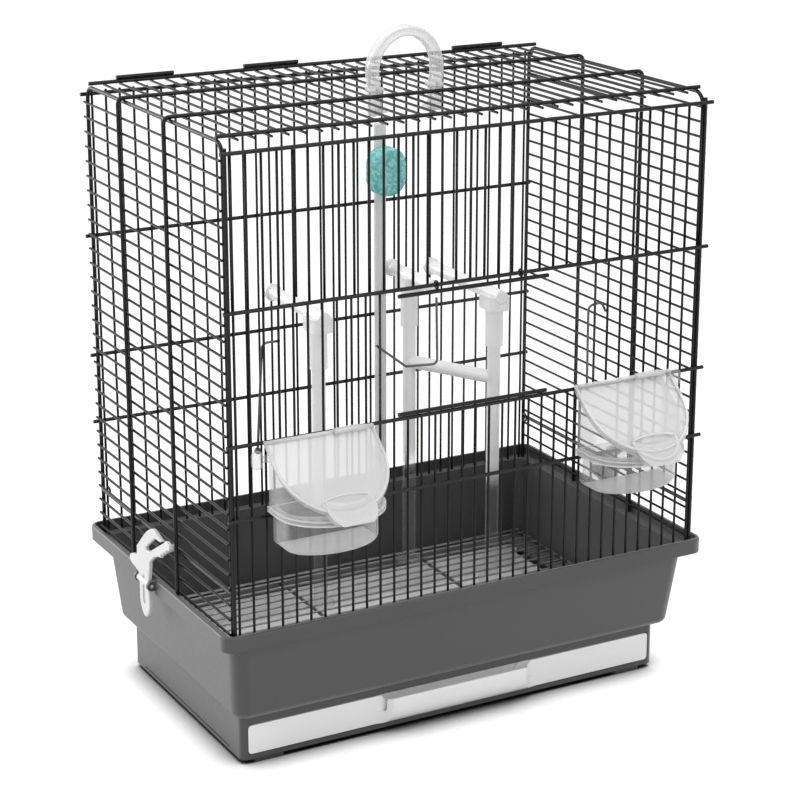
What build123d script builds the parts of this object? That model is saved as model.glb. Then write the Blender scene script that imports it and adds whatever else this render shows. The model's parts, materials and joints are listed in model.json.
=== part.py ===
from build123d import *
import os
from math import atan2, ceil, cos, degrees, radians, sin

# Bird cage: a wire cage that lifts off a moulded tub with a pull-out drawer.
# Millimetres. Z is up with the floor at 0, the front is towards -Y and the left towards -X.

# Wire stock
thick_wire = 3.4
fine_wire = 2.3
bare_wire = 2.0
ring_wire = 1.8
touch_gap = 0.2
crossing = (thick_wire + fine_wire) / 2

# Tub with its rim, body and plinth
rim_top = 130.0
rim_length = 458.0
rim_depth = 294.0
rim_height = 13.0
rim_wall = 3.6
rim_corner = 11.0
recess_corner = 6.0
rim_edge_round = 2.0
ledge_thickness = 3.0
tub_wall = 2.5
rim_end_overhang = 12.0
rim_front_overhang = 11.0
tub_end_lean = 6.0
tub_front_lean = 10.5
tub_corner = 12.0
tub_edge_round = 7.0
plinth_end_inset = 9.0
plinth_front_inset = 12.5
plinth_height = 41.5
plinth_corner = 6.0
shelf_end_width = 14.0
shelf_front_width = 5.5
groove_height = 1.4
groove_depth = 1.2
groove_rise = 2.8
groove_margin = 24.0
foot_height = 4.0
foot_length = 28.0
foot_width = 12.0
foot_corner = 4.0
foot_inset = 12.0

# Drawer in the plinth
drawer_side_margin = 6.2
drawer_front_height = 25.2
drawer_front_thickness = 8.0
drawer_front_corner = 3.0
drawer_gap = 0.8
drawer_lift = 4.8
tray_wall = 1.8
tray_inset = 2.0
tray_lift = 10.0
tray_corner = 4.0
tray_back_gap = 1.2
tray_stop_gap = 1.0
tray_running_gap = 0.3
runner_width = 8.0
runner_spacing = 300.0
runner_end_gap = 1.0
grip_width = 158.0
grip_end = 20.0
grip_lip_height = 22.5
grip_lip_thickness = 3.4
grip_reach = 7.0
pocket_floor = 11.0
pocket_depth = 14.0

# Floor grate over the drawer
grate_bar = 3.0
grate_wire = 2.2
grate_pitch = 13.0
grate_bar_margin = 5.1
grate_bar_pitch = 142.0
grate_end_gap = 5.0
grate_front_gap = 3.0

# Wire cage
frame_end_inset = 11.5
frame_front_inset = 11.0
frame_rise = 391.4
frame_bend = 11.0
hoop_bend = 5.2
rear_hoop_y = 54.0
front_hoop_y = -39.5
wire_tip = 3.5
cross_heights = (384.3, 262.1, 155.8, 95.2)
top_cross, door_head, door_sill, feeder_cross = cross_heights
front_wire_count = 35
upper_wire_count = 34
back_wire_count = 35
side_wire_count = 31
roof_wire_count = 30
front_wire_inset = 4.0
upper_wire_inset = 3.5
side_wire_first = 13.0
side_wire_pitch = 12.65
roof_cross_inset = 8.0
side_rail_height = 32.5
rail_eye_radius = 3.6
sleeve_length = 52.0
sleeve_left_margin = 49.0
sleeve_middle = -51.0
sleeve_right_margin = 61.0

# Door of clear plastic between the second and third cross wires
door_width = 201.0
door_thickness = 1.6
door_overlap = 2.0
door_rod_length = 138.0
door_rod_offset = -16.559
door_ring_offsets = (-51.6, 26.4)
latch_wire_points = ((51.912, 250.0), (52.912, 195.0), (24.412, 197.0), (-2.088, 218.0))
latch_bend = 4.0

# Feeders of clear plastic with a bare wire hook above each
feeder_width = 86.0
feeder_reach = 55.0
feeder_side = 20.0
feeder_wall = 1.8
feeder_left_margin = 29.3
feeder_right_margin = 36.0
feeder_gap_offset = 11.0
feeder_gap_wires = 2
cup_width = 80.0
cup_reach = 44.0
cup_bottom = 71.0
cup_rim = 104.0
cup_edge_round = 7.0
cup_flange = 2.0
cup_flange_thickness = 2.6
hood_top = 157.0
hood_front_height = 9.0
hood_flare = 4.0
hood_plate = 2.2
hood_grip_radius = 21.0
hood_grip_thickness = 4.0
hook_tab_width = 24.0
hook_tab_thickness = 2.2
lug_width = 9.0
lug_height = 15.0
lug_reach = 10.5
lug_bar_height = 5.0
lug_thickness = 3.0
lug_places = ((-1, 143.5), (1, 152.0))
hook_gap = 0.3
hook_bend = 5.0
hook_eye_radius = 2.6
left_hook_points = ((-5.8, 148.0), (-0.6, 234.0), (14.4, 233.7))
right_hook_points = ((13.1, 154.0), (12.7, 223.7), (25.5, 225.2), (29.9, 217.0))

# Clips that hold the cage to the tub
clip_y = 8.0
clip_hub_height = 3.0
clip_pivot_height = -5.0
clip_thickness = 3.0
clip_offset = 3.5
clip_barrel_radius = 3.1
clip_barrel_length = 23.0
clip_pin_radius = 1.5
clip_running_gap = 0.08
ear_thickness = 3.0
ear_gap = 0.5
ear_radius = 4.2
clip_edge_round = 0.7
clip_groove_width = 6.0
clip_groove_length = 26.0
clip_groove_depth = 1.0
clip_groove_drop = 15.0
catch_length = 12.0
catch_height = 5.0
catch_gap = 0.3
catch_place = (-38.0, 32.5)
catch_tilt = -30.0
clip_jaw = ((13.0, 20.0), (2.0, 30.0), (-15.0, 43.0), (-24.0, 46.0), (-33.0, 44.0), (-42.0, 41.6))
clip_jaw_inside = ((-42.0, 41.6), (-37.0, 39.4), (-27.0, 39.4), (-7.0, 25.0), (-8.0, 22.5), (-14.0, 23.0),
                   (-47.0, 42.5))
clip_tip = ((-47.0, 42.5), (-53.0, 44.6), (-57.5, 42.5), (-54.5, 37.5))
clip_teeth = ((-54.5, 37.5), (-50.0, 36.5), (-49.5, 33.5), (-44.5, 33.0), (-44.0, 30.0), (-39.0, 29.5),
              (-38.5, 26.0), (-34.0, 25.5), (-24.0, 21.5), (-14.5, 14.0))
clip_tail = ((-14.5, 14.0), (-13.3, 7.0), (-11.0, -4.0), (-10.6, -15.0), (-11.0, -29.0), (-1.4, -39.5),
             (8.3, -29.0), (9.0, -15.0), (10.6, -6.0))
clip_step = ((10.6, -6.0), (10.6, -3.0), (15.0, -2.6))
clip_ear_line = ((15.0, -2.6), (22.0, -1.0), (27.0, 0.5), (29.8, 4.0), (26.0, 8.0), (17.5, 10.0),
                 (13.0, 20.0))
notch_depth = 2.8

# Carry handle of clear plastic
handle_y = -20.0
handle_leg_spread = 28.0
handle_thickness = 10.0
handle_width = 14.0
handle_corner = 4.0
handle_rise = 53.0
handle_spread = 5.5
handle_drop = 16.0
handle_collar = 15.5
handle_collar_height = 5.0
handle_round = 20.0
handle_neck_foot = 4.0
handle_neck_top = 24.0
handle_neck_bends = (14.0, 8.0)
barb_reach = 7.0
barb_height = 5.0

# Perches and posts of clear plastic
post_diameter = 12.0
post_foot_diameter = 24.0
post_foot_height = 3.0
perch_diameter = 12.0
saddle_width = 20.0
saddle_depth = 26.0
saddle_height = 22.0
socket_diameter = 16.0
socket_length = 40.0
perch_flange_diameter = 16.0
perch_flange_thickness = 3.0
left_post = (-50.0, 44.0)
middle_post_x = 71.0
middle_post_back_gap = 36.55
right_post = (113.0, 20.0)
left_perch_height = 191.5
middle_perch_height = 199.5
right_perch_height = 195.5
middle_perch_front = 55.0
lower_perch_height = 118.5
tall_post_x = 57.0
tall_post_top = 335.0
tall_post_diameter = 11.0
block_width = 34.0
block_height = 44.0
block_depth = 16.0
block_center_height = 294.0

# Places that follow from the sizes above
tub_top_length = rim_length - 2 * rim_end_overhang
tub_top_depth = rim_depth - 2 * rim_front_overhang
tub_bottom_length = tub_top_length - 2 * tub_end_lean
tub_bottom_depth = tub_top_depth - 2 * tub_front_lean
plinth_length = tub_bottom_length - 2 * plinth_end_inset
plinth_depth = tub_bottom_depth - 2 * plinth_front_inset
drawer_width = plinth_length - 2 * drawer_side_margin
frame_length = rim_length - 2 * frame_end_inset
frame_depth = rim_depth - 2 * frame_front_inset
front_wire_span = frame_length - 2 * front_wire_inset
upper_wire_span = frame_length - 2 * upper_wire_inset
plinth_top = foot_height + plinth_height
rim_bottom = rim_top - rim_height
ledge_top = rim_bottom + ledge_thickness
wire_foot = ledge_top + touch_gap
frame_x = frame_length / 2
frame_y = frame_depth / 2
frame_top = rim_top + frame_rise
side_x = frame_x + crossing
hoop_x = side_x + crossing
end_wire_y = frame_y + thick_wire
front_cross_y = end_wire_y + thick_wire
front_fine_y = front_cross_y - crossing
back_cross_y = frame_y + thick_wire
back_fine_y = back_cross_y - crossing
hoop_top = frame_top + thick_wire
roof_z = hoop_top - crossing
fine_top = rim_top + top_cross + wire_tip
front_pitch = front_wire_span / (front_wire_count - 1)
upper_pitch = upper_wire_span / (upper_wire_count - 1)
roof_pitch = frame_length / (roof_wire_count + 1)
handle_leg_x = round(handle_leg_spread / roof_pitch) * roof_pitch
feeder_lefts = (feeder_left_margin - frame_x, frame_x - feeder_right_margin - feeder_width)
middle_post = (middle_post_x, back_fine_y - middle_post_back_gap)


def save(node, *solids):
    """Write one node, with every given solid kept separate."""
    bodies = []
    for shape in solids:
        bodies.extend(shape.solids())
    whole = bodies[0] if len(bodies) == 1 else Compound(children=bodies)
    export_step(whole, f"parts/{node}.step")


def wire_x(index, count, span):
    """Place across the front of the wire with this index."""
    return -span / 2 + index * span / (count - 1)


def straight_wire(start, end, diameter, sides=6):
    """A straight wire as a slim prism from start to end."""
    axis = Vector(*end) - Vector(*start)
    section = Plane(origin=start, z_dir=axis) * RegularPolygon(diameter / 2, sides)
    return extrude(section, axis.length)


def round_rod(start, end, diameter):
    """A straight round rod from start to end."""
    axis = Vector(*end) - Vector(*start)
    return extrude(Plane(origin=start, z_dir=axis) * Circle(diameter / 2), axis.length)


def bent_wire(points, radii, diameter):
    """A round wire along straight runs joined by tangent arcs."""
    path = FilletPolyline(*points, radius=radii)
    section = Plane(origin=path @ 0, z_dir=path % 0) * Circle(diameter / 2)
    return sweep(section, path=path)


def slab(length, depth, corner, bottom, top):
    """An upright block with rounded corners in plan."""
    return extrude(Plane.XY.offset(bottom) * RectangleRounded(length, depth, corner), top - bottom)


def flared(lower, upper, corner, bottom, top):
    """A block whose walls lean out from lower (length, depth) to upper."""
    low = Plane.XY.offset(bottom) * RectangleRounded(*lower, corner)
    high = Plane.XY.offset(top) * RectangleRounded(*upper, corner)
    return loft([low.face(), high.face()], ruled=True)


def box_between(low, high):
    """A plain box between two opposite corners."""
    size = [high[i] - low[i] for i in range(3)]
    middle = [(high[i] + low[i]) / 2 for i in range(3)]
    return Pos(*middle) * Box(*size)


# Clip places used by the tub and by the clips
clip_plate_x = rim_length / 2 + clip_offset
clip_pivot_z = rim_top + clip_pivot_height
ear_inner = clip_barrel_length / 2 + ear_gap
ear_outer = ear_inner + ear_thickness

# Drawer places used by the tub and by the drawer
drawer_front_bottom = foot_height + drawer_lift
drawer_front_top = drawer_front_bottom + drawer_front_height
drawer_front_y = -plinth_depth / 2
plinth_floor = foot_height + tub_wall
tray_bottom = drawer_front_bottom + tray_lift
tray_front_y = drawer_front_y + drawer_front_thickness
tray_back_y = plinth_depth / 2 - tub_wall - tray_back_gap


def clip_ear(side):
    """Two ears on the rim that carry one clip's pin."""
    ears = []
    for near, far in ((ear_inner, ear_outer), (-ear_outer, -ear_inner)):
        low, high = sorted((side * (rim_length / 2 - rim_wall / 2), side * clip_plate_x))
        block = box_between((low, clip_y + near, clip_pivot_z - ear_radius),
                            (high, clip_y + far, clip_pivot_z + ear_radius))
        nose = Plane(origin=(side * clip_plate_x, clip_y + near, clip_pivot_z), z_dir=(0, 1, 0))
        rounded = block + extrude(nose * Circle(ear_radius), far - near)
        bore = Plane(origin=(side * clip_plate_x, clip_y + near, clip_pivot_z), z_dir=(0, 1, 0))
        ears.append(rounded - extrude(bore * Circle(clip_pin_radius + clip_running_gap), far - near))
    return ears[0] + ears[1]


def base_tub():
    """Rim, flared body, shelf and hollow plinth moulded in one."""
    rim = slab(rim_length, rim_depth, rim_corner, rim_bottom, rim_top)
    rim = fillet(rim.edges().group_by(Axis.Z)[-1], rim_edge_round)
    body = flared((tub_bottom_length, tub_bottom_depth), (tub_top_length, tub_top_depth),
                  tub_corner, plinth_top, rim_bottom)
    body = fillet(body.edges().group_by(Axis.Z)[0], tub_edge_round)
    plinth = slab(plinth_length, plinth_depth, plinth_corner, foot_height, plinth_top + tub_wall)
    tub = rim + body + plinth
    tub -= slab(rim_length - 2 * rim_wall, rim_depth - 2 * rim_wall, recess_corner,
                ledge_top, rim_top + 1)
    tub -= flared((tub_bottom_length - 2 * tub_wall, tub_bottom_depth - 2 * tub_wall),
                  (tub_top_length - 2 * tub_wall, tub_top_depth - 2 * tub_wall),
                  tub_corner - tub_wall, plinth_top + tub_wall, ledge_top)
    inner_length = plinth_length - 2 * tub_wall
    inner_depth = plinth_depth - 2 * tub_wall
    tub -= slab(inner_length, inner_depth, plinth_corner - tub_wall, plinth_floor, plinth_top)
    tub -= slab(inner_length - 2 * shelf_end_width, inner_depth - 2 * shelf_front_width,
                plinth_corner - tub_wall, plinth_top - 1, plinth_top + tub_wall)
    opening = Plane.XZ.offset(plinth_depth / 2 - 2 * tub_wall) * Pos(
        0, (drawer_front_bottom + drawer_front_top) / 2) * RectangleRounded(
        drawer_width + 2 * drawer_gap, drawer_front_height + 2 * drawer_gap,
        drawer_front_corner + drawer_gap)
    tub -= extrude(opening, 4 * tub_wall)
    for side in (-1, 1):
        runner_x = side * runner_spacing / 2
        tub += box_between((runner_x - runner_width / 2, tray_front_y + runner_end_gap, plinth_floor),
                           (runner_x + runner_width / 2, inner_depth / 2, tray_bottom - tray_running_gap))
        groove_reach = plinth_depth / 2 - groove_margin
        low, high = sorted((side * (plinth_length / 2 - groove_depth), side * (plinth_length / 2 + 1)))
        tub -= box_between((low, -groove_reach, foot_height + groove_rise),
                           (high, groove_reach, foot_height + groove_rise + groove_height))
        low, high = sorted((side * (rim_length / 2 - notch_depth), side * (rim_length / 2 + 1)))
        tub -= box_between((low, clip_y - ear_inner, rim_bottom - 1),
                           (high, clip_y + ear_inner, rim_top + 1))
        tub += clip_ear(side)
    return tub


def feet():
    """Pads under the plinth's corners and a round one under its middle."""
    x = plinth_length / 2 - foot_inset - foot_length / 2
    y = plinth_depth / 2 - foot_width / 2 - 2
    pads = [Pos(sx * x, sy * y) * slab(foot_length, foot_width, foot_corner, 0, foot_height)
            for sx in (-1, 1) for sy in (-1, 1)]
    pads.append(Pos(0, 0, foot_height / 2) * Cylinder(foot_length / 2, foot_height))
    return pads


def grip_lip():
    """Swollen lip over the drawer's face, with a rounded top and ends that run out to the face."""
    bottom = drawer_front_bottom
    top = bottom + grip_lip_height
    front_y = drawer_front_y - grip_reach
    back_y = front_y + grip_lip_thickness
    waist = bottom + 0.6 * grip_lip_height
    profile = Bezier((drawer_front_y, bottom), (drawer_front_y - 0.6 * grip_reach, bottom),
                     (front_y, bottom + 0.3 * grip_lip_height), (front_y, waist))
    profile += Bezier((front_y, waist), (front_y, top - 1), (front_y + 0.3, top),
                      (front_y + grip_lip_thickness / 2, top))
    profile += Bezier((front_y + grip_lip_thickness / 2, top), (back_y, top), (back_y, top - 1), (back_y, waist))
    profile += Polyline((back_y, waist), (back_y + 1, bottom + pocket_floor),
                        (drawer_front_y + 1, bottom + pocket_floor), (drawer_front_y + 1, bottom),
                        (drawer_front_y, bottom))
    half = grip_width / 2
    bar = extrude(Plane.YZ.offset(-half) * make_face(profile), grip_width)
    reach_y = front_y - 1
    plan = Polyline((-half, drawer_front_y), (-half, drawer_front_y + 1), (half, drawer_front_y + 1),
                    (half, drawer_front_y))
    plan += Bezier((half, drawer_front_y), (half - grip_end / 2, drawer_front_y),
                   (half - grip_end / 2, reach_y), (half - grip_end, reach_y))
    plan += Line((half - grip_end, reach_y), (grip_end - half, reach_y))
    plan += Bezier((grip_end - half, reach_y), (grip_end / 2 - half, reach_y),
                   (grip_end / 2 - half, drawer_front_y), (-half, drawer_front_y))
    return bar & extrude(make_face(plan), rim_top)


def drawer():
    """White drawer: front with a lip to pull and a finger pocket, and a tray with a taller back as its stop."""
    middle_z = (drawer_front_bottom + drawer_front_top) / 2
    face = Plane.XZ.offset(-drawer_front_y) * Pos(0, middle_z) * RectangleRounded(
        drawer_width, drawer_front_height, drawer_front_corner)
    front = extrude(face, -drawer_front_thickness)
    width = drawer_width - 2 * tray_inset
    depth = tray_back_y - tray_front_y
    tray_y = (tray_front_y + tray_back_y) / 2
    stop_top = plinth_top - tray_stop_gap
    tray = Pos(0, tray_y) * slab(width, depth, tray_corner, tray_bottom, stop_top)
    tray -= Pos(0, tray_y) * slab(width - 2 * tray_wall, depth - 2 * tray_wall, tray_corner - tray_wall,
                                  tray_bottom + tray_wall, stop_top + 1)
    tray -= box_between((-width, tray_front_y - 1, drawer_front_top),
                        (width, tray_back_y - tray_corner, stop_top + 1))
    half = grip_width / 2
    pocket = box_between((-half, tray_front_y, tray_bottom),
                         (half, drawer_front_y + pocket_depth + tray_wall, drawer_front_top))
    floor_z = drawer_front_bottom + pocket_floor
    edge = drawer_front_top + 1
    scoop = Line((tray_wall - half, edge), (half - tray_wall, edge))
    scoop += Bezier((half - tray_wall, edge), (half - grip_end / 2, edge),
                    (half - grip_end / 2, floor_z), (half - grip_end, floor_z))
    scoop += Line((half - grip_end, floor_z), (grip_end - half, floor_z))
    scoop += Bezier((grip_end - half, floor_z), (grip_end / 2 - half, floor_z),
                    (grip_end / 2 - half, edge), (tray_wall - half, edge))
    cut = extrude(Plane.XZ.offset(-drawer_front_y - pocket_depth) * make_face(scoop), pocket_depth + 1)
    return front + tray + pocket - cut + grip_lip()


def floor_grate():
    """Bars along Y on the shelf, with wires and two thick edge wires along X welded on top."""
    bar_z = plinth_top + tub_wall + grate_bar / 2
    wire_z = bar_z + (grate_bar + grate_wire) / 2
    edge_z = bar_z + grate_bar
    half_length = tub_bottom_length / 2 - tub_wall - grate_end_gap
    half_depth = tub_bottom_depth / 2 - tub_wall - grate_front_gap
    bar_count = 1 + int((2 * (half_length - grate_bar_margin) - grate_bar) // grate_bar_pitch)
    bar_places = [grate_bar_margin - half_length + step * grate_bar_pitch for step in range(bar_count)]
    solids = []
    for x in bar_places + [half_length]:
        solids.append(straight_wire((x, -half_depth, bar_z), (x, half_depth, bar_z), grate_bar, 8))
    edge_y = half_depth - grate_bar / 2
    for sign in (-1, 1):
        solids.append(straight_wire((-half_length, sign * edge_y, edge_z), (half_length, sign * edge_y, edge_z),
                                    grate_bar, 8))
    rows = int(2 * (edge_y - grate_pitch / 2) // grate_pitch)
    for row in range(rows + 1):
        y = (row - rows / 2) * grate_pitch
        solids.append(straight_wire((-half_length, y, wire_z), (half_length, y, wire_z), grate_wire))
    return solids, wire_z + grate_wire / 2


def side_frame(side):
    """Inverted U at one end of the cage, with a post at each corner."""
    x = side * frame_x
    points = [(x, -frame_y, wire_foot), (x, -frame_y, frame_top), (x, frame_y, frame_top),
              (x, frame_y, wire_foot)]
    return bent_wire(points, frame_bend, thick_wire)


def hoop(y):
    """Inverted U over the cage from side to side."""
    points = [(-hoop_x, y, wire_foot), (-hoop_x, y, hoop_top), (hoop_x, y, hoop_top),
              (hoop_x, y, wire_foot)]
    return bent_wire(points, hoop_bend, thick_wire)


def cross_wires(y):
    """The four level wires across the front or the back."""
    reach = frame_x + thick_wire / 2 + wire_tip
    return [straight_wire((-reach, y, rim_top + height), (reach, y, rim_top + height), thick_wire, 8)
            for height in cross_heights]


def upright(x, y, bottom, top):
    """One fine upright wire."""
    return straight_wire((x, y, bottom), (x, y, top), fine_wire)


def front_uprights(indices, spans):
    """Fine uprights of the front for the given wires, each cut to the given spans."""
    return [upright(wire_x(index, front_wire_count, front_wire_span), -front_fine_y, low, high)
            for index in indices for low, high in spans]


def side_wires(side):
    """Fine wires along one end of the cage."""
    reach = frame_y + thick_wire / 2 - 0.5
    solids = []
    for index in range(side_wire_count):
        z = frame_top - side_wire_first - index * side_wire_pitch
        solids.append(straight_wire((side * side_x, -reach, z), (side * side_x, reach, z), fine_wire))
    return solids


def roof_wires():
    """Fine wires over the roof from front to back."""
    reach = frame_y - roof_cross_inset + thick_wire / 2 + wire_tip
    return [straight_wire((-frame_x + index * roof_pitch, -reach, roof_z),
                          (-frame_x + index * roof_pitch, reach, roof_z), fine_wire)
            for index in range(1, roof_wire_count + 1)]


def roof_cross_wires():
    """Level wires along the front and rear edges of the roof."""
    y = frame_y - roof_cross_inset
    reach = frame_x + thick_wire / 2
    return [straight_wire((-reach, sign * y, hoop_top), (reach, sign * y, hoop_top), thick_wire, 8)
            for sign in (-1, 1)]


def roof_sleeves():
    """Short bars that join the roof to the back along its rear edge."""
    y = frame_y - roof_cross_inset
    z = hoop_top + thick_wire
    places = (sleeve_left_margin - frame_x, sleeve_middle, frame_x - sleeve_right_margin)
    return [straight_wire((x - sleeve_length / 2, y, z), (x + sleeve_length / 2, y, z), thick_wire, 8)
            for x in places]


def side_rails():
    """A thick bar low inside each end, with an eye at its rear."""
    z = rim_top + side_rail_height
    solids = []
    for side in (-1, 1):
        x = side * frame_x
        rear = frame_y - thick_wire / 2
        solids.append(straight_wire((x, -rear, z), (x, rear, z), thick_wire, 8))
        eye_y = rear - rail_eye_radius - 1
        inner = x - side * (thick_wire / 2 + ring_wire / 2)
        eye = Plane(origin=(inner, eye_y, z), x_dir=(0, 1, 0), z_dir=(1, 0, 0))
        solids.append(eye * Torus(rail_eye_radius, ring_wire / 2))
    return solids


# Wires cut at the feeders' gaps. The door's right jamb is the first one cut at the right feeder.
left_cut, right_cut = [ceil((left + feeder_gap_offset + front_wire_span / 2) / front_pitch)
                       for left in feeder_lefts]
last_jamb = right_cut
first_jamb = last_jamb - round(door_width / front_pitch)
jamb_low_x = wire_x(first_jamb, front_wire_count, front_wire_span)
jamb_high_x = wire_x(last_jamb, front_wire_count, front_wire_span)
door_middle_x = (jamb_low_x + jamb_high_x) / 2
head_z = rim_top + door_head
sill_z = rim_top + door_sill
ring_radius = thick_wire / 2 + touch_gap + ring_wire / 2
top_rod_z = head_z - ring_radius - ring_wire / 2 - thick_wire / 2
bottom_rod_z = sill_z + thick_wire + touch_gap


def door():
    """Clear flap with a rod along its head and its foot, hung from the head wire by two rings."""
    panel = box_between((jamb_low_x - door_overlap, -front_cross_y - door_thickness / 2,
                         bottom_rod_z + thick_wire / 2),
                        (jamb_high_x + door_overlap, -front_cross_y + door_thickness / 2,
                         top_rod_z - thick_wire / 2))
    panel = fillet(panel.edges().filter_by(Axis.Y), 3)
    rods = []
    for z in (top_rod_z, bottom_rod_z):
        rod_middle = door_middle_x + door_rod_offset
        rods.append(round_rod((rod_middle - door_rod_length / 2, -front_cross_y, z),
                              (rod_middle + door_rod_length / 2, -front_cross_y, z), thick_wire))
    rings = []
    for offset in door_ring_offsets:
        gap = int((door_middle_x + offset + upper_wire_span / 2) // upper_pitch)
        middle = wire_x(gap + 0.5, upper_wire_count, upper_wire_span)
        place = Plane(origin=(middle, -front_cross_y, head_z), z_dir=(1, 0, 0))
        rings.append(place * Torus(ring_radius, ring_wire / 2))
    return panel, rods, rings


def latch_wire():
    """Bare bent wire beside the door, hooked to the left jamb."""
    y = -front_fine_y + fine_wire / 2 + bare_wire / 2
    points = [(jamb_low_x + x, y, rim_top + z) for x, z in latch_wire_points]
    return bent_wire(points, latch_bend, bare_wire)


def feeder_plan(width, reach, back=0.0):
    """Plan of a feeder: open back at Y 0, straight sides, and a half ellipse towards the front."""
    front = reach - feeder_side
    sides = Pos(0, -(feeder_side + back) / 2) * Rectangle(width, feeder_side - back)
    behind = Pos(0, front - feeder_side) * Rectangle(width, 2 * front)
    return sides + (Pos(0, -feeder_side) * Ellipse(width / 2, front) - behind)


def hood_plan(grow, back=0.0):
    """Plan of the hood, wider all round by grow."""
    return feeder_plan(feeder_width + 2 * grow, feeder_reach + grow, back)


def feeder_cup():
    """Clear cup, open at the top, with a wide flange and a tab that rests on the cross wire."""
    cup = extrude(Plane.XY.offset(rim_top + cup_bottom) * feeder_plan(cup_width, cup_reach), cup_rim - cup_bottom)
    cup = fillet(cup.edges().group_by(Axis.Z)[0], cup_edge_round - 1)
    flange = extrude(Plane.XY.offset(rim_top + cup_rim - cup_flange_thickness) * hood_plan(cup_flange),
                     cup_flange_thickness)
    cup += flange & box_between((-feeder_width, -2 * feeder_reach, 0), (feeder_width, 0, 2 * frame_top))
    cup -= extrude(Plane.XY.offset(rim_top + cup_bottom + feeder_wall) *
                   feeder_plan(cup_width - 2 * feeder_wall, cup_reach - feeder_wall, feeder_wall), cup_rim)
    tab_z = rim_top + feeder_cross + thick_wire / 2 + touch_gap
    cup += box_between((-hook_tab_width / 2, 0, tab_z), (hook_tab_width / 2, thick_wire, tab_z + hook_tab_thickness))
    return cup


def feeder_hood(lug_side, lug_z):
    """Clear hood on the cup: upright walls, a sloping window with a flared edge, a grip and a lug."""
    base_z = rim_top + cup_rim
    top_z = rim_top + hood_top
    front_z = base_z + hood_front_height
    slope = degrees(atan2(top_z - front_z, feeder_reach))
    length = 2 * feeder_reach
    walls = extrude(Plane.XY.offset(base_z) * hood_plan(0), top_z - base_z)
    walls -= extrude(Plane.XY.offset(base_z) * hood_plan(-feeder_wall, -feeder_wall), top_z - base_z)
    window = Plane(origin=(0, 0, top_z), x_dir=(1, 0, 0), z_dir=(0, -sin(radians(slope)), cos(radians(slope))))
    above = window * Pos(0, 0, length / 2 - hood_plate) * Box(2 * feeder_width, 2 * length, length)
    walls -= above
    prism = extrude(Plane.XY.offset(base_z) * hood_plan(hood_flare), top_z - base_z)
    plate = window * Pos(0, 0, -hood_plate / 2) * Box(2 * feeder_width, 2 * length, hood_plate)
    front_only = box_between((-feeder_width, -length, 0), (feeder_width, 0, 2 * frame_top))
    hood = walls + (prism & plate & front_only)
    grip_plane = Plane(origin=window.from_local_coords((0, -(feeder_reach ** 2 + (top_z - front_z) ** 2) ** 0.5, 0)),
                       x_dir=(1, 0, 0), z_dir=window.z_dir)
    grip = extrude(grip_plane.offset(-hood_plate) * Circle(hood_grip_radius), hood_grip_thickness)
    keep = window * Pos(0, -length / 2 - feeder_reach * 0.98, 0) * Box(2 * feeder_width, length, length)
    outside = extrude(Plane.XY.offset(base_z) * hood_plan(-feeder_wall), top_z)
    low_front = box_between((-feeder_width, -length, base_z), (feeder_width, 0, 2 * frame_top))
    wall_face = Plane(origin=(lug_side * feeder_width / 2, 0, rim_top + lug_z), x_dir=(lug_side, 0, 0),
                      z_dir=(0, -1, 0))
    lug = Pos(lug_reach, 0) * RectangleRounded(lug_width, lug_height, lug_width * 0.45)
    bar = Pos(lug_reach / 2 - feeder_wall / 4, 0) * Rectangle(lug_reach + feeder_wall / 2, lug_bar_height)
    return hood + ((grip & keep & low_front) - outside) + extrude(wall_face * (lug + bar), lug_thickness)


def feeder_hook(left, points):
    """Bare wire arm beside the feeder with this left edge, with an eye at its foot and a hooked top."""
    y = -front_fine_y + fine_wire / 2 + hook_gap + bare_wire / 2
    path = [(left + x, y, rim_top + z) for x, z in points]
    foot = Plane(origin=(path[0][0], y - bare_wire / 2, path[0][2]), z_dir=(0, 1, 0))
    return bent_wire(path, hook_bend, bare_wire) + extrude(foot * Circle(hook_eye_radius), bare_wire)


def clip_outline():
    """Face of a clip round its hub: a tail below, an ear, and two jaws that meet at their tips."""
    curved = [Spline(*points) for points in (clip_jaw, clip_tip, clip_tail, clip_ear_line)]
    straight = [Polyline(*points) for points in (clip_jaw_inside, clip_teeth, clip_step)]
    return make_face(Curve() + curved + straight)


def clip(side):
    """White clip: a flat body on a barrel, with a grooved tail, two jaws and a catch behind them."""
    hub_z = rim_top + clip_hub_height
    plate_plane = Plane(origin=(side * (clip_plate_x - clip_thickness / 2), clip_y, hub_z),
                        x_dir=(0, 1, 0), z_dir=(1, 0, 0))
    body = extrude(plate_plane * clip_outline(), side * clip_thickness)
    outer = body.faces().sort_by(Axis.X)[-1 if side > 0 else 0]
    body = chamfer(outer.edges(), clip_edge_round)
    groove_plane = plate_plane.offset(side * (clip_thickness - clip_groove_depth))
    body -= extrude(groove_plane * Pos(-1, -clip_groove_drop) * RectangleRounded(
        clip_groove_width, clip_groove_length, clip_groove_width * 0.45), side * clip_thickness)
    barrel = Plane(origin=(side * clip_plate_x, clip_y - clip_barrel_length / 2, clip_pivot_z), z_dir=(0, 1, 0))
    body += extrude(barrel * Circle(clip_barrel_radius), clip_barrel_length)
    reach = clip_plate_x - clip_thickness / 2 - side_x - fine_wire / 2 - catch_gap
    catch = Pos(*catch_place) * Rot(0, 0, catch_tilt) * RectangleRounded(catch_length, catch_height, 2)
    body += extrude(plate_plane * catch, -side * reach)
    bore = Plane(origin=(side * clip_plate_x, clip_y - ear_outer, clip_pivot_z), z_dir=(0, 1, 0))
    return body - extrude(bore * Circle(clip_pin_radius + clip_running_gap), 2 * ear_outer)


def clip_pins():
    """Plain pins through the ears and the clips."""
    length = ear_outer - 0.5
    return [round_rod((side * clip_plate_x, clip_y - length, clip_pivot_z),
                      (side * clip_plate_x, clip_y + length, clip_pivot_z), 2 * clip_pin_radius)
            for side in (-1, 1)]


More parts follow.
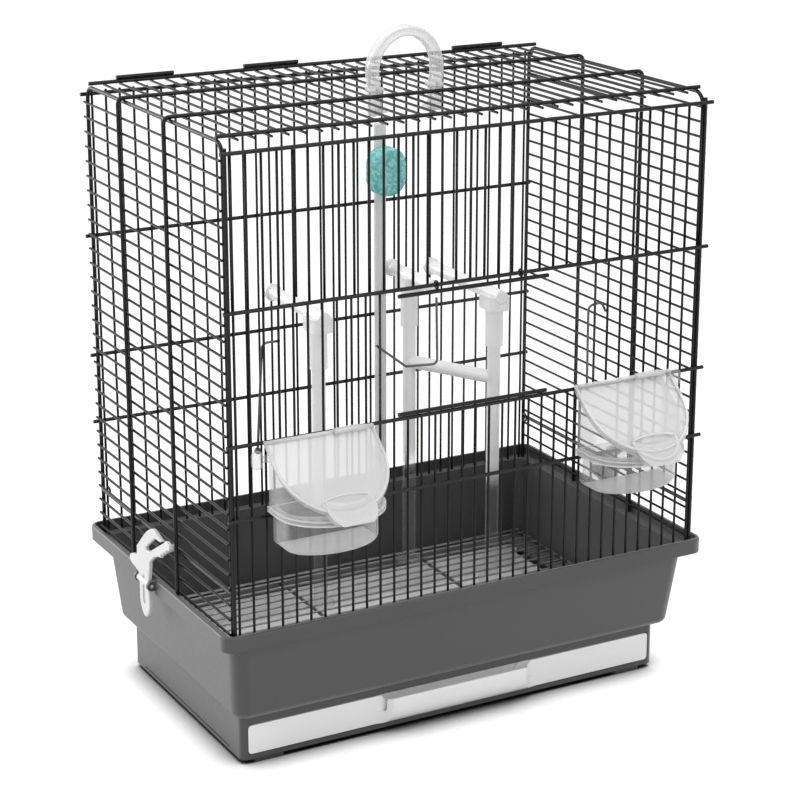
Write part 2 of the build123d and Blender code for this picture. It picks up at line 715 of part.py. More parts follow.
def carry_handle():
    """Clear arch whose legs pass between roof wires, with a collar resting on them."""
    leg_x = handle_leg_x
    wide = leg_x + handle_spread
    foot = frame_top - handle_drop
    top = hoop_top + handle_rise - handle_thickness / 2
    neck_foot = hoop_top + handle_neck_foot
    neck_top = hoop_top + handle_neck_top
    points = [(-leg_x, handle_y, foot), (-leg_x, handle_y, neck_foot), (-wide, handle_y, neck_top),
              (-wide, handle_y, top), (wide, handle_y, top), (wide, handle_y, neck_top),
              (leg_x, handle_y, neck_foot), (leg_x, handle_y, foot)]
    radii = [*handle_neck_bends, handle_round, handle_round, *reversed(handle_neck_bends)]
    path = FilletPolyline(*points, radius=radii)
    section = Plane(origin=path @ 0, x_dir=(1, 0, 0), z_dir=path % 0) * RectangleRounded(
        handle_thickness, handle_width, handle_corner)
    arch = sweep(section, path=path)
    collar_bottom = roof_z + fine_wire / 2 + touch_gap
    for x in (-leg_x, leg_x):
        arch += Pos(x, handle_y) * slab(handle_collar, handle_width + 2, handle_corner,
                                        collar_bottom, collar_bottom + handle_collar_height)
        inner_x = x - (handle_thickness / 2 + barb_reach) * (1 if x > 0 else -1)
        low, high = sorted((x, inner_x))
        arch += box_between((low, handle_y - handle_width / 4, foot), (high, handle_y + handle_width / 4,
                                                                       foot + barb_height))
    return arch


def post(place, bottom, top, saddle_axis_z):
    """Upright post with a foot, a socket sleeve and a saddle open at the top for a perch."""
    x, y = place
    solid = Pos(x, y) * slab(post_foot_diameter, post_foot_diameter, post_foot_diameter / 2 - 0.1,
                             bottom, bottom + post_foot_height)
    solid += Pos(x, y, (bottom + top) / 2) * Cylinder(post_diameter / 2, top - bottom)
    sleeve_top = saddle_axis_z - perch_diameter / 2 - 1
    solid += Pos(x, y, sleeve_top - socket_length / 2) * Cylinder(socket_diameter / 2, socket_length)
    head = box_between((x - saddle_width / 2, y - saddle_depth / 2, sleeve_top - 6),
                       (x + saddle_width / 2, y + saddle_depth / 2, saddle_axis_z))
    head = fillet(head.edges().filter_by(Axis.Z), 5)
    trough = Plane(origin=(x, y - saddle_depth, saddle_axis_z), z_dir=(0, 1, 0))
    seat = extrude(trough * Circle(perch_diameter / 2 + touch_gap), 2 * saddle_depth)
    return solid + head - seat


def perch(x, front_y, height):
    """Perch along Y that clips to the back wires with a flange."""
    z = rim_top + height
    back = back_fine_y - fine_wire / 2 - touch_gap
    rod = round_rod((x, front_y, z), (x, back, z), perch_diameter)
    flange = Plane(origin=(x, back - perch_flange_thickness, z), z_dir=(0, 1, 0))
    return rod + extrude(flange * Circle(perch_flange_diameter / 2), perch_flange_thickness)


def lower_perch():
    """Level perch between the middle post and the right post."""
    z = rim_top + lower_perch_height
    start = Vector(*middle_post, z)
    end = Vector(*right_post, z)
    rod = round_rod(tuple(start), tuple(end), perch_diameter)
    for x, y in (middle_post, right_post):
        rod -= Pos(x, y, z) * Cylinder(post_diameter / 2 + 0.05, 3 * perch_diameter)
    return max(rod.solids(), key=lambda piece: piece.volume)


def tall_post():
    """Tall clear strip behind the perches, against the back wires."""
    y = back_fine_y - fine_wire / 2 - touch_gap - tall_post_diameter / 2
    bottom = wire_foot
    top = rim_top + tall_post_top
    rod = Pos(tall_post_x, y, (bottom + top) / 2) * Cylinder(tall_post_diameter / 2, top - bottom)
    return rod, y - tall_post_diameter / 2


def mineral_block(back):
    """Rounded pecking block fixed to the front of the tall post."""
    z = rim_top + block_center_height
    shape = Plane(origin=(tall_post_x, back, z), x_dir=(1, 0, 0), z_dir=(0, -1, 0)) * RectangleRounded(
        block_width, block_height, block_width * 0.46)
    block = extrude(shape, block_depth)
    return fillet(block.edges().group_by(Axis.Y)[0], 5)


os.makedirs("parts", exist_ok=True)

# Tub, drawer and grate
save("base_tub", base_tub())
save("feet", *feet())
save("drawer_tray", drawer())
grate, grate_top = floor_grate()
save("floor_grate", *grate)

# Frames and hoops
save("side_frame_left", side_frame(-1))
save("side_frame_right", side_frame(1))
save("hoop_rear", hoop(rear_hoop_y))
save("hoop_front", hoop(front_hoop_y))

# Cross wires and end wires
save("front_cross_wires", *cross_wires(-front_cross_y))
save("back_cross_wires", *cross_wires(back_cross_y))
save("roof_cross_wires", *roof_cross_wires())
save("roof_sleeves", *roof_sleeves())
save("front_end_wires", *[straight_wire((side * frame_x, -end_wire_y, wire_foot),
                                        (side * frame_x, -end_wire_y, fine_top), thick_wire, 8)
                          for side in (-1, 1)])
save("side_rails", *side_rails())

# Fine wires of the front, split where the door and the feeder gaps are
full = [(wire_foot, head_z)]
below_door = [(wire_foot, sill_z)]
round_gap = [(wire_foot, rim_top + feeder_cross), (sill_z, head_z)]
cut_wires = [first + step for first in (left_cut, right_cut) for step in range(feeder_gap_wires)]
save("front_wires_left", *front_uprights(range(0, left_cut), full))
save("front_wires_left_inner", *front_uprights(range(left_cut + feeder_gap_wires, first_jamb + 1), full))
save("front_wires_center", *front_uprights(range(first_jamb + 1, last_jamb), below_door))
save("front_wires_right", *front_uprights(range(right_cut + feeder_gap_wires, front_wire_count), full))
save("front_cut_wires", *front_uprights(cut_wires, round_gap))
save("front_upper_wires", *[upright(wire_x(index, upper_wire_count, upper_wire_span), -front_fine_y,
                                    head_z, fine_top) for index in range(upper_wire_count)])

# Fine wires of the back, the ends and the roof
save("back_wires", *[upright(wire_x(index, back_wire_count, front_wire_span), back_fine_y,
                             wire_foot, fine_top) for index in range(back_wire_count)])
save("left_side_wires", *side_wires(-1))
save("right_side_wires", *side_wires(1))
save("roof_wires", *roof_wires())

# Door
door_panel, door_rods, door_rings = door()
save("door_panel", door_panel)
save("door_rods", *door_rods)
save("door_rings", *door_rings)
save("door_latch_wire", latch_wire())

# Feeders and their hooks
for name, left, lug, hook_points in (("left", feeder_lefts[0], lug_places[0], left_hook_points),
                                     ("right", feeder_lefts[1], lug_places[1], right_hook_points)):
    place = Pos(left + feeder_width / 2, -front_cross_y - thick_wire / 2 - touch_gap)
    save(f"feeder_cup_{name}", place * feeder_cup())
    save(f"feeder_hood_{name}", place * feeder_hood(*lug))
    save(f"feeder_hook_{name}", feeder_hook(left, hook_points))

# Clips
save("clip_left", clip(-1))
save("clip_right", clip(1))
save("clip_pins", *clip_pins())

# Handle, perches and posts
save("carry_handle", carry_handle())
for name, place, height in (("left", left_post, left_perch_height),
                            ("middle", middle_post, middle_perch_height),
                            ("right", right_post, right_perch_height)):
    seat_z = rim_top + height
    save(f"post_{name}", post(place, grate_top, seat_z - perch_diameter / 2 - 2, seat_z))
save("perch_left", perch(left_post[0], left_post[1] - saddle_depth / 2, left_perch_height))
save("perch_middle", perch(middle_post[0], middle_perch_front, middle_perch_height))
save("perch_right", perch(right_post[0], right_post[1] - saddle_depth / 2, right_perch_height))
save("perch_lower", lower_perch())
tall_rod, tall_front = tall_post()
save("post_tall", tall_rod)
save("mineral_block", mineral_block(tall_front))
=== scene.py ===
import json
from math import cos, pi, radians, sin

import bmesh
import bpy
from mathutils import Euler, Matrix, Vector


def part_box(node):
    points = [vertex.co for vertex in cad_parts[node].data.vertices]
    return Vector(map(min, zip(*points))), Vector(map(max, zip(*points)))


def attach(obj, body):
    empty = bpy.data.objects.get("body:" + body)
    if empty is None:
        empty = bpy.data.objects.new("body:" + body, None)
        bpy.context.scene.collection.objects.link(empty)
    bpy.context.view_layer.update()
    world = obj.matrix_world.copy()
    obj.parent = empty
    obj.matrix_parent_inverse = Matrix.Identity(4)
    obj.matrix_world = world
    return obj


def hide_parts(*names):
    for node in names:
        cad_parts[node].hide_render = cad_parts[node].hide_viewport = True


# Materials, handle, upper wires, feeder beads, floor, lights and camera of the bird cage, in metres

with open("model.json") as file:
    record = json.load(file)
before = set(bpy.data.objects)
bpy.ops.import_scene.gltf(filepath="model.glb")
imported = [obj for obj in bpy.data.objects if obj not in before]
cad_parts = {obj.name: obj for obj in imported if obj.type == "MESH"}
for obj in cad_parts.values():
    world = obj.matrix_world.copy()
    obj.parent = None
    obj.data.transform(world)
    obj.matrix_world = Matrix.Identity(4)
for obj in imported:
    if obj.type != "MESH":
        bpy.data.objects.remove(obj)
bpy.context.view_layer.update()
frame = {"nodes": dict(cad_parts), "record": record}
nodes = frame["nodes"]


# Material helpers

colour_drift = 0.02
clear_roughness_spread = 0.06


def new_material(name):
    """An empty node material with its Principled shader and node tree."""
    material = bpy.data.materials.new(name)
    material.use_nodes = True
    return material, material.node_tree, material.node_tree.nodes["Principled BSDF"]


def noise(tree, scale, detail=3.0):
    """Noise read in the object's own space, in metres."""
    coordinates = tree.nodes.new("ShaderNodeTexCoord")
    texture = tree.nodes.new("ShaderNodeTexNoise")
    texture.inputs["Scale"].default_value = scale
    texture.inputs["Detail"].default_value = detail
    tree.links.new(coordinates.outputs["Object"], texture.inputs["Vector"])
    return texture.outputs["Fac"]


def ramp(tree, source, stops):
    """Colour ramp over the given (position, colour) stops."""
    node = tree.nodes.new("ShaderNodeValToRGB")
    elements = node.color_ramp.elements
    elements[0].position, elements[0].color = stops[0]
    elements[1].position, elements[1].color = stops[-1]
    for position, colour in stops[1:-1]:
        element = elements.new(position)
        element.color = colour
    tree.links.new(source, node.inputs["Fac"])
    return node.outputs["Color"]


def grey(value):
    """A neutral colour."""
    return (value, value, value, 1.0)


def spread_colour(tree, source, low, high):
    """A neutral colour that drifts with the source from low to high."""
    return ramp(tree, source, [(0.3, grey(low)), (0.7, grey(high))])


def rise(tree, source, low, high):
    """Zero where the source is below low, and one where it is above high."""
    return ramp(tree, source, [(low, grey(0.0)), (high, grey(1.0))])


def roughness_range(tree, shader, source, low, high):
    """Roughness that follows the source between low and high."""
    spread = tree.nodes.new("ShaderNodeMapRange")
    spread.inputs["To Min"].default_value = low
    spread.inputs["To Max"].default_value = high
    tree.links.new(source, spread.inputs["Value"])
    tree.links.new(spread.outputs["Result"], shader.inputs["Roughness"])


def bump(tree, shader, source, strength, distance):
    """Bump from the source."""
    node = tree.nodes.new("ShaderNodeBump")
    node.inputs["Strength"].default_value = strength
    node.inputs["Distance"].default_value = distance
    tree.links.new(source, node.inputs["Height"])
    tree.links.new(node.outputs["Normal"], shader.inputs["Normal"])


def coated_wire_material():
    """Black powder coat with a soft satin gloss."""
    material, tree, shader = new_material("coated_wire")
    coarse = noise(tree, scale=60.0)
    tree.links.new(spread_colour(tree, coarse, low=0.005, high=0.010), shader.inputs["Base Color"])
    roughness_range(tree, shader, coarse, low=0.24, high=0.36)
    shader.inputs["Specular IOR Level"].default_value = 0.22
    bump(tree, shader, noise(tree, scale=1400.0, detail=2.0), strength=0.12, distance=0.0002)
    return material


def bare_wire_material(name, low, high):
    """Dull zinc plated wire, with the low and high of its grey."""
    material, tree, shader = new_material(name)
    coarse = noise(tree, scale=90.0)
    tree.links.new(spread_colour(tree, coarse, low, high), shader.inputs["Base Color"])
    shader.inputs["Metallic"].default_value = 0.9
    roughness_range(tree, shader, coarse, low=0.30, high=0.48)
    bump(tree, shader, noise(tree, scale=900.0, detail=2.0), strength=0.1, distance=0.0002)
    return material


def tub_material():
    """Moulded grey plastic with a fine grain, and a painted sheen: its colour is lighter where the surface
    is seen at a flat angle.
    """
    material, tree, shader = new_material("tub")
    broad = noise(tree, scale=7.0, detail=2.0)
    facing = tree.nodes.new("ShaderNodeLayerWeight")
    facing.inputs["Blend"].default_value = 0.5
    square = spread_colour(tree, broad, low=0.048, high=0.053)
    # Painted sheen: a lighter colour for faces seen at a flat angle
    sheen_painted_colour = spread_colour(tree, broad, low=0.104, high=0.112)
    share = rise(tree, facing.outputs["Facing"], low=0.22, high=0.60)
    colour = tree.nodes.new("ShaderNodeMixRGB")
    tree.links.new(share, colour.inputs["Fac"])
    tree.links.new(square, colour.inputs["Color1"])
    tree.links.new(sheen_painted_colour, colour.inputs["Color2"])
    tree.links.new(colour.outputs["Color"], shader.inputs["Base Color"])
    roughness_range(tree, shader, noise(tree, scale=220.0), low=0.34, high=0.46)
    bump(tree, shader, noise(tree, scale=1600.0, detail=2.0), strength=0.22, distance=0.0003)
    return material


def white_material(name, base):
    """Moulded white plastic with a soft gloss."""
    material, tree, shader = new_material(name)
    broad = noise(tree, scale=9.0, detail=2.0)
    colour = spread_colour(tree, broad, base - colour_drift, base + colour_drift)
    tree.links.new(colour, shader.inputs["Base Color"])
    roughness_range(tree, shader, noise(tree, scale=200.0), low=0.28, high=0.38)
    shader.inputs["Subsurface Weight"].default_value = 0.05
    shader.inputs["Subsurface Radius"].default_value = (0.003, 0.003, 0.003)
    bump(tree, shader, noise(tree, scale=1500.0, detail=2.0), strength=0.06, distance=0.0002)
    return material


def facing_share(tree, direction, low, high):
    """One on faces square to the direction, on either side, and zero on faces that turn away from it."""
    coordinates = tree.nodes.new("ShaderNodeTexCoord")
    product = tree.nodes.new("ShaderNodeVectorMath")
    product.operation = "DOT_PRODUCT"
    product.inputs[1].default_value = direction
    tree.links.new(coordinates.outputs["Normal"], product.inputs[0])
    size = tree.nodes.new("ShaderNodeMath")
    size.operation = "ABSOLUTE"
    tree.links.new(product.outputs["Value"], size.inputs[0])
    return rise(tree, size.outputs["Value"], low, high)


def height_share(tree, low, high):
    """Zero below the low height of the object and one above the high one, in metres."""
    coordinates = tree.nodes.new("ShaderNodeTexCoord")
    split = tree.nodes.new("ShaderNodeSeparateXYZ")
    tree.links.new(coordinates.outputs["Object"], split.inputs["Vector"])
    return rise(tree, split.outputs["Z"], low, high)


def feed(tree, value, socket):
    """Sets the socket to a number, or links an output to it."""
    if isinstance(value, float):
        socket.default_value = value
    else:
        tree.links.new(value, socket)


def combine(tree, operation, first, second):
    """One value from two."""
    node = tree.nodes.new("ShaderNodeMath")
    node.operation = operation
    feed(tree, first, node.inputs[0])
    feed(tree, second, node.inputs[1])
    return node.outputs["Value"]


def mix_shaders(tree, share, first, second):
    """The first shader where the share is zero and the second one where it is one."""
    node = tree.nodes.new("ShaderNodeMixShader")
    feed(tree, share, node.inputs["Fac"])
    tree.links.new(first, node.inputs[1])
    tree.links.new(second, node.inputs[2])
    return node.outputs["Shader"]


def seen_directly(tree):
    """One for rays from the camera, from a reflection or through glass."""
    rays = tree.nodes.new("ShaderNodeLightPath")
    total = rays.outputs["Is Camera Ray"]
    for name in ("Is Glossy Ray", "Is Transmission Ray"):
        total = combine(tree, "MAXIMUM", total, rays.outputs[name])
    return total


def clear_material(name, base, centre, rim, milk, milk_rim, roughness=0.06, milky_face=None,
                   milky_above=None):
    """Clear moulded plastic with a polished gloss. Light that passes keeps the share centre where the wall
    is seen square on, and rim at its outline. The milky share goes from milk to milk_rim the same way, in
    the grey base. milky_face is (direction, share) of the faces that are milkier, and milky_above is
    (low, high, share) of the heights where it turns milky."""
    material, tree, shader = new_material(name)
    broad = noise(tree, scale=18.0, detail=2.0)
    colour = spread_colour(tree, broad, base - colour_drift, base + colour_drift)
    tree.links.new(colour, shader.inputs["Base Color"])
    fine = noise(tree, scale=130.0)
    roughness_range(tree, shader, fine, low=roughness, high=roughness + clear_roughness_spread)
    edge = tree.nodes.new("ShaderNodeLayerWeight")
    edge.inputs["Blend"].default_value = 0.5
    see_through = tree.nodes.new("ShaderNodeBsdfTransparent")
    passed = ramp(tree, edge.outputs["Facing"], [(0.15, grey(centre)), (0.55, grey((2 * centre + rim) / 3)),
                                                 (0.95, grey(rim))])
    tree.links.new(passed, see_through.inputs["Color"])
    share = ramp(tree, edge.outputs["Facing"], [(0.25, grey(milk)), (0.7, grey((3 * milk + milk_rim) / 4)),
                                                (1.0, grey(milk_rim))])
    if milky_face:
        direction, amount = milky_face
        faces = facing_share(tree, direction, low=0.90, high=0.97)
        extra = combine(tree, "MULTIPLY", faces, amount)
        share = combine(tree, "MAXIMUM", share, extra)
    if milky_above:
        low, high, amount = milky_above
        extra = combine(tree, "MULTIPLY", height_share(tree, low, high), amount)
        share = combine(tree, "MAXIMUM", share, extra)
    surface = mix_shaders(tree, share, see_through.outputs["BSDF"], shader.outputs["BSDF"])
    tree.links.new(surface, tree.nodes["Material Output"].inputs["Surface"])
    return material


def mineral_material():
    """Turquoise pressed mineral with pale and dark specks."""
    material, tree, shader = new_material("mineral")
    coordinates = tree.nodes.new("ShaderNodeTexCoord")
    cells = tree.nodes.new("ShaderNodeTexVoronoi")
    cells.inputs["Scale"].default_value = 420.0
    tree.links.new(coordinates.outputs["Object"], cells.inputs["Vector"])
    deep = (0.09, 0.38, 0.37, 1.0)
    turquoise = (0.15, 0.50, 0.47, 1.0)
    pale = (0.40, 0.68, 0.63, 1.0)
    colour = ramp(tree, cells.outputs["Color"], [(0.15, deep), (0.5, turquoise), (0.95, pale)])
    tree.links.new(colour, shader.inputs["Base Color"])
    shader.inputs["Roughness"].default_value = 0.8
    bump(tree, shader, noise(tree, scale=500.0), strength=0.6, distance=0.0008)
    return material


# Materials of the slots, and of the nodes whose names start as given

window_slope = radians(38.66)
window_normal = (0.0, -sin(window_slope), cos(window_slope))
up = (0.0, 0.0, 1.0)
rim_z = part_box("base_tub")[1][2]
strip_milky = (rim_z, rim_z + 0.012, 0.80)
post_milky = (rim_z + 0.012, rim_z + 0.040, 0.80)

materials = {
    "coated_wire": coated_wire_material(),
    "bare_wire": bare_wire_material("bare_wire", low=0.06, high=0.12),
    "tub": tub_material(),
    "white_plastic": white_material("white_plastic", base=0.82),
    "clear_plastic": clear_material("clear_plastic", base=0.88, centre=0.90, rim=0.62, milk=0.03,
                                    milk_rim=0.30),
    "mineral": mineral_material(),
}
own_materials = {
    # The clips' white is darker than the other white plastic, a painted shade that keeps the strong light
    # from the left from burning them to white
    "clip": white_material("white_clip_painted_shade", base=0.60),
    "floor_grate": bare_wire_material("grate_wire", low=0.16, high=0.28),
    "feeder_hood": clear_material("clear_hood", base=0.70, centre=0.93, rim=0.76, milk=0.20, milk_rim=0.85,
                                  roughness=0.10, milky_face=(window_normal, 0.62)),
    "feeder_cup": clear_material("clear_cup", base=0.94, centre=0.92, rim=0.66, milk=0.06, milk_rim=0.92,
                                 milky_face=(up, 0.80)),
    "door_panel": clear_material("clear_door", base=0.88, centre=0.985, rim=0.90, milk=0.012, milk_rim=0.20),
    "post_tall": clear_material("frosted_strip", base=0.72, centre=0.94, rim=0.80, milk=0.05, milk_rim=0.30,
                                roughness=0.16, milky_above=strip_milky),
    "post": clear_material("frosted_post", base=0.93, centre=0.94, rim=0.80, milk=0.04, milk_rim=0.30,
                           roughness=0.16, milky_above=post_milky),
    "perch": clear_material("frosted_perch", base=0.93, centre=0.94, rim=0.80, milk=0.86, milk_rim=0.94,
                            roughness=0.16),
}
for entry in frame["record"]["subparts"]:
    finish = materials[entry["material_slot"]]
    for start, own in own_materials.items():
        if entry["node"].startswith(start):
            finish = own
            break
    for slot in nodes[entry["node"]].material_slots:
        slot.material = finish

# Swept pieces

bead_material = clear_material("clear_bead", base=0.84, centre=0.95, rim=0.70, milk=0.50, milk_rim=0.85)
handle_material = clear_material("clear_handle", base=0.88, centre=0.92, rim=0.50, milk=0.42, milk_rim=0.85,
                                 roughness=0.05)
right = (1.0, 0.0, 0.0)
back = (0.0, 1.0, 0.0)


def round_section(radius, sides=10):
    """Points of a circle."""
    return [(radius * cos(2 * pi * i / sides), radius * sin(2 * pi * i / sides)) for i in range(sides)]


def swept(name, origin, across, upward, paths, section, finish, body):
    """One mesh of a closed tube along each path. The paths lie in the plane of the across and upward
    directions. The section's first value runs square to the path in that plane, and its second one square
    to the plane."""
    across, upward, origin = Vector(across), Vector(upward), Vector(origin)
    outward = across.cross(upward)
    count = len(section)
    verts, faces = [], []
    for path in paths:
        points = [origin + across * x + upward * y for x, y in path]
        first = len(verts)
        for index, point in enumerate(points):
            before = points[max(index - 1, 0)]
            after = points[min(index + 1, len(points) - 1)]
            side = outward.cross((after - before).normalized())
            verts += [point + side * u + outward * v for u, v in section]
        faces += [tuple(range(first, first + count))[::-1], tuple(range(len(verts) - count, len(verts)))]
        for ring in range(len(points) - 1):
            for i in range(count):
                a = first + ring * count + i
                b = first + ring * count + (i + 1) % count
                faces.append((a, b, b + count, a + count))
    mesh = bpy.data.meshes.new(name)
    mesh.from_pydata(verts, [], faces)
    outline = bmesh.new()
    outline.from_mesh(mesh)
    bmesh.ops.recalc_face_normals(outline, faces=outline.faces)
    outline.to_mesh(mesh)
    outline.free()
    mesh.polygons.foreach_set("use_smooth", [len(face.vertices) == 4 for face in mesh.polygons])
    mesh.materials.append(finish)
    piece = bpy.data.objects.new(name, mesh)
    bpy.context.scene.collection.objects.link(piece)
    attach(piece, body)
    return piece


def half_ellipse(centre, width, height, steps=24):
    """Points of a half ellipse from the left end to the right end, over the top where height is positive."""
    return [(centre[0] - width * cos(pi * i / steps), centre[1] + height * sin(pi * i / steps))
            for i in range(steps + 1)]


# Carry handle: a rounded arch grooved along both faces, a collar on each leg and barbs under the roof

handle_low, handle_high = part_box("carry_handle")
handle_y = (handle_low[1] + handle_high[1]) / 2
roof_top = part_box("hoop_front")[1][2]
leg_x = 0.0281
arch_x = 0.0302
bar_half = 0.0043
bar_depth = 0.0055
arch_foot = roof_top + 0.014
neck_foot = roof_top - 0.006
lip = 0.0012
groove_half = 0.0010
groove_floor = 0.0038
collar_drop = 0.0016
collar_height = 0.0035
collar_wall = 0.0016
collar_step = 0.0012
barb_reach = 0.0065
barb_root = 0.0025
barb_tip = 0.0034
barb_radius = 0.0023
arch_steps = 32


def grooved_section(half, depth):
    """A rounded bar with a groove along the middle of both faces."""
    side = [(-half, -depth + lip), (lip - half, -depth), (-2 * groove_half, -depth),
            (-groove_half, -groove_floor), (groove_half, -groove_floor),
            (2 * groove_half, -depth), (half - lip, -depth), (half, -depth + lip)]
    return side + [(-x, -y) for x, y in side]


def neck(steps=6):
    """Left leg from its foot to the arch, moving out in a soft S."""
    places = [(-leg_x, handle_low[2])]
    for i in range(steps + 1):
        share = i / steps
        soft = share * share * (3 - 2 * share)
        places.append((-leg_x - (arch_x - leg_x) * soft, neck_foot + (arch_foot - neck_foot) * share))
    return places


left_leg = neck()
arch = half_ellipse((0.0, arch_foot), arch_x, handle_high[2] - bar_half - arch_foot, arch_steps)
right_leg = [(-x, z) for x, z in reversed(left_leg)]
handle = swept("handle_arch", (0.0, handle_y, 0.0), right, up,
               [left_leg + arch[1:-1] + right_leg], grooved_section(bar_half, bar_depth),
               handle_material, "cage")
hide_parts("carry_handle")
for side, label in ((-1, "left"), (1, "right")):
    swept(f"handle_collar_{label}", (side * leg_x, handle_y, roof_top - collar_drop), right, up,
          [[(0.0, 0.0), (0.0, collar_height)]],
          grooved_section(bar_half + collar_wall, bar_depth + collar_step), handle_material, "cage")
    barb_end = leg_x - bar_half - barb_reach
    swept(f"handle_barb_{label}", (0.0, handle_y, handle_low[2]), right, up,
          [[(side * leg_x, barb_root), (side * barb_end, barb_tip)]], round_section(barb_radius),
          handle_material, "cage")

# Upper wires of the front, which end at the cross wire that carries them

upper_low, upper_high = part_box("front_upper_wires")
upper_wires = 34
wire_radius = 0.00115
end_drop = 0.0008
span = upper_high[0] - upper_low[0] - 2 * wire_radius
upper_y = (upper_low[1] + upper_high[1]) / 2
upper_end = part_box("front_cross_wires")[1][2] - end_drop
places = [upper_low[0] + wire_radius + span * index / (upper_wires - 1) for index in range(upper_wires)]
wires = swept("upper_wires", (0.0, upper_y, 0.0), right, up,
              [[(x, upper_low[2]), (x, upper_end)] for x in places], round_section(wire_radius, sides=8),
              materials["coated_wire"], "cage")
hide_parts("front_upper_wires")

# Beads along the feeders' hoods, flanges and grips

feeder_half = 0.043
feeder_reach = 0.055
feeder_side = 0.020
hood_flare = 0.004
grip_half = 0.021
grip_start = 0.0625
grip_ridge_inset = 0.002
grip_ridge_rise = 0.004
cup_back_inset = 0.0034
window_inset = 0.0006
top_forward = 0.0022
top_drop = 0.0004
tab_forward = 0.0032
tab_drop = 0.0006
flange_height = 0.033
flange_grow = 0.0012
flange_drops = (0.0006, 0.0040)
tab_path = [(0.012, 0.0), (0.016, 0.0006), (0.030, 0.0008), (0.040, -0.0004)]
window_bead = 0.0013
top_bead = 0.0016
tab_bead = 0.0028
grip_bead = 0.0015
ridge_bead = 0.0010
flange_bead = 0.0009
slope_length = 1 / cos(window_slope)
down_slope = (0.0, cos(window_slope), sin(window_slope))


def feeder_outline(grow):
    """Plan of a feeder from its left back corner round the front to its right one."""
    half = feeder_half + grow
    front = half_ellipse((0.0, -feeder_side), half, -(feeder_reach + grow - feeder_side))
    return [(-half, 0.0)] + front + [(half, 0.0)]


for side in ("left", "right"):
    hood_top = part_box(f"feeder_hood_{side}")[1][2]
    cup_low, cup_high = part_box(f"feeder_cup_{side}")
    back_y = cup_high[1] - cup_back_inset
    middle_x = (cup_low[0] + cup_high[0]) / 2
    body = f"feeder_{side}"
    corner = (middle_x, back_y, hood_top)
    edge = [(x, y * slope_length) for x, y in feeder_outline(hood_flare - window_inset)]
    swept(f"hood_bead_{side}", corner, right, down_slope, [edge], round_section(window_bead),
          bead_material, body)
    half = feeder_half + hood_flare
    swept(f"hood_top_{side}", (middle_x, back_y - top_forward, hood_top - top_drop), right, up,
          [[(-half, 0.0), (half, 0.0)]], round_section(top_bead), bead_material, body)
    swept(f"hood_tab_{side}", (middle_x, back_y - tab_forward, hood_top - tab_drop), right, up,
          [tab_path], round_section(tab_bead), bead_material, body)
    grip = half_ellipse((0.0, -grip_start), grip_half, -grip_half)
    swept(f"grip_bead_{side}", corner, right, down_slope, [grip], round_section(grip_bead),
          bead_material, body)
    ridge = half_ellipse((0.0, -grip_start), grip_half - grip_ridge_inset, grip_ridge_rise)
    swept(f"grip_ridge_{side}", corner, right, down_slope, [ridge], round_section(ridge_bead),
          bead_material, body)
    flange_z = cup_low[2] + flange_height
    for step, drop in enumerate(flange_drops):
        swept(f"flange_bead_{side}_{step}", (middle_x, back_y, flange_z - drop), right, back,
              [feeder_outline(flange_grow)], round_section(flange_bead), bead_material, body)

# Floor

floor_mesh = bpy.data.meshes.new("floor")
floor_half = 30.0
corners = [(-floor_half, -floor_half, 0), (floor_half, -floor_half, 0), (floor_half, floor_half, 0),
           (-floor_half, floor_half, 0)]
floor_mesh.from_pydata(corners, [], [(0, 1, 2, 3)])
floor = bpy.data.objects.new("floor", floor_mesh)
bpy.context.scene.collection.objects.link(floor)
floor_material, floor_tree, floor_shader = new_material("floor")
floor_shader.inputs["Roughness"].default_value = 0.9
floor_shader.inputs["Specular IOR Level"].default_value = 0.1

# Painted shadow: the floor's colour darkens where the object stands close over it
painted_contact_shadow = floor_tree.nodes.new("ShaderNodeAmbientOcclusion")
painted_contact_shadow.inputs["Distance"].default_value = 0.035
painted_contact_shadow.samples = 8
floor_colour_with_painted_shadow = ramp(floor_tree, painted_contact_shadow.outputs["AO"], [(0.45, grey(0.03)), (0.98, grey(0.81))])
floor_tree.links.new(floor_colour_with_painted_shadow, floor_shader.inputs["Base Color"])
floor.data.materials.append(floor_material)
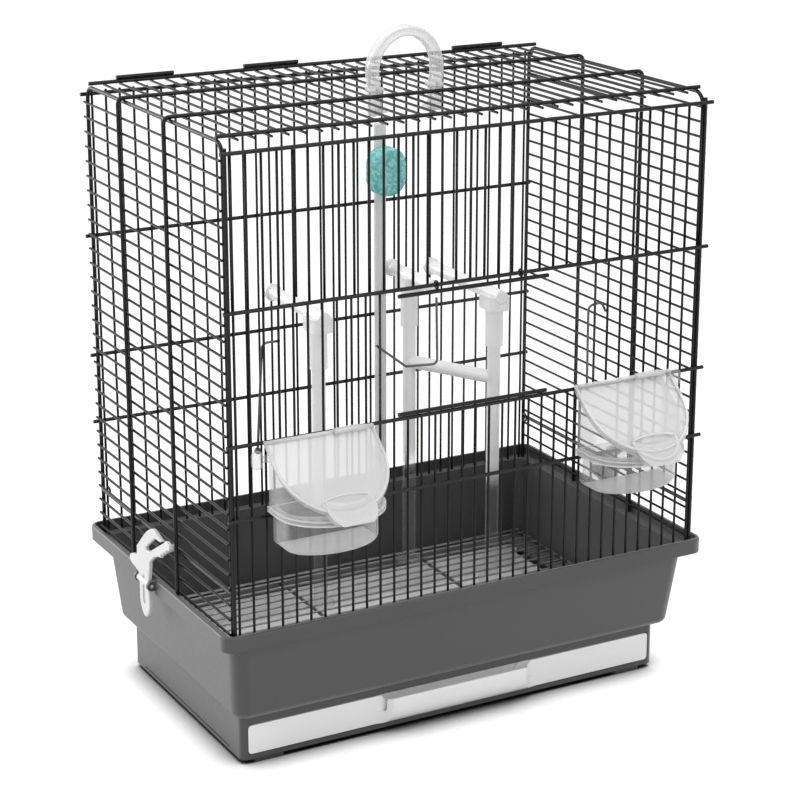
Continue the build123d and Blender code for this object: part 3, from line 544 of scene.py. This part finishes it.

# Seen directly, the floor glows white, with a painted shadow where the object stands close over it
closeness = floor_tree.nodes.new("ShaderNodeAmbientOcclusion")
closeness.inputs["Distance"].default_value = 0.034
closeness.samples = 8
# Painted shadow: the glow fades where the object stands close over the floor
glow_with_painted_shadow = rise(floor_tree, closeness.outputs["AO"], low=0.36, high=0.84)
glow = floor_tree.nodes.new("ShaderNodeEmission")
glow.inputs["Strength"].default_value = 1.28
floor_tree.links.new(glow_with_painted_shadow, glow.inputs["Color"])
plain_share = 0.30
plain_floor = floor_shader.outputs["BSDF"]
seen_floor = mix_shaders(floor_tree, plain_share, glow.outputs["Emission"], plain_floor)
floor_surface = mix_shaders(floor_tree, seen_directly(floor_tree), plain_floor, seen_floor)
floor_tree.links.new(floor_surface, floor_tree.nodes["Material Output"].inputs["Surface"])

# World, seen white and a little weaker as a light, and lamps

world = bpy.data.worlds.new("world")
world.use_nodes = True
bpy.context.scene.world = world
world_tree = world.node_tree
lighting = world_tree.nodes["Background"]
backdrop = world_tree.nodes.new("ShaderNodeBackground")
for node, strength in ((lighting, 0.72), (backdrop, 1.0)):
    node.inputs["Color"].default_value = grey(1.0)
    node.inputs["Strength"].default_value = strength
sky = mix_shaders(world_tree, seen_directly(world_tree), lighting.outputs["Background"],
                  backdrop.outputs["Background"])
world_tree.links.new(sky, world_tree.nodes["World Output"].inputs["Surface"])


def lamp(name, place, target, size, power):
    """A square soft lamp that points at the target."""
    data = bpy.data.lights.new(name, "AREA")
    data.shape = "SQUARE"
    data.size = size
    data.energy = power
    light = bpy.data.objects.new(name, data)
    light.location = place
    light.rotation_euler = (Vector(target) - Vector(place)).to_track_quat("-Z", "Y").to_euler()
    bpy.context.scene.collection.objects.link(light)


middle = (0.0, 0.0, 0.25)
lamp("key", (-2.4, 0.6, 1.7), middle, size=1.8, power=24.0)
lamp("edge", (-1.5, 2.2, 0.8), middle, size=1.4, power=28.0)
lamp("fill", (0.6, -2.9, 1.6), middle, size=2.0, power=22.0)
lamp("top", (0.1, -0.1, 2.4), middle, size=1.6, power=24.0)

# Camera, fitted to the photograph

camera_data = bpy.data.cameras.new("camera")
camera_data.lens = 102.4
camera_data.sensor_width = 36.0
camera_data.shift_y = -0.05
camera_data.clip_end = 100.0
camera_tilt = 16.89
camera_turn = -28.72
camera = bpy.data.objects.new("camera", camera_data)
camera.location = (-0.89575, -1.64684, 0.8556)
camera.rotation_euler = Euler((radians(90.0 - camera_tilt), 0.0, radians(camera_turn)), "XYZ")
bpy.context.scene.collection.objects.link(camera)
bpy.context.scene.camera = camera

bpy.context.scene.view_settings.view_transform = "Standard"
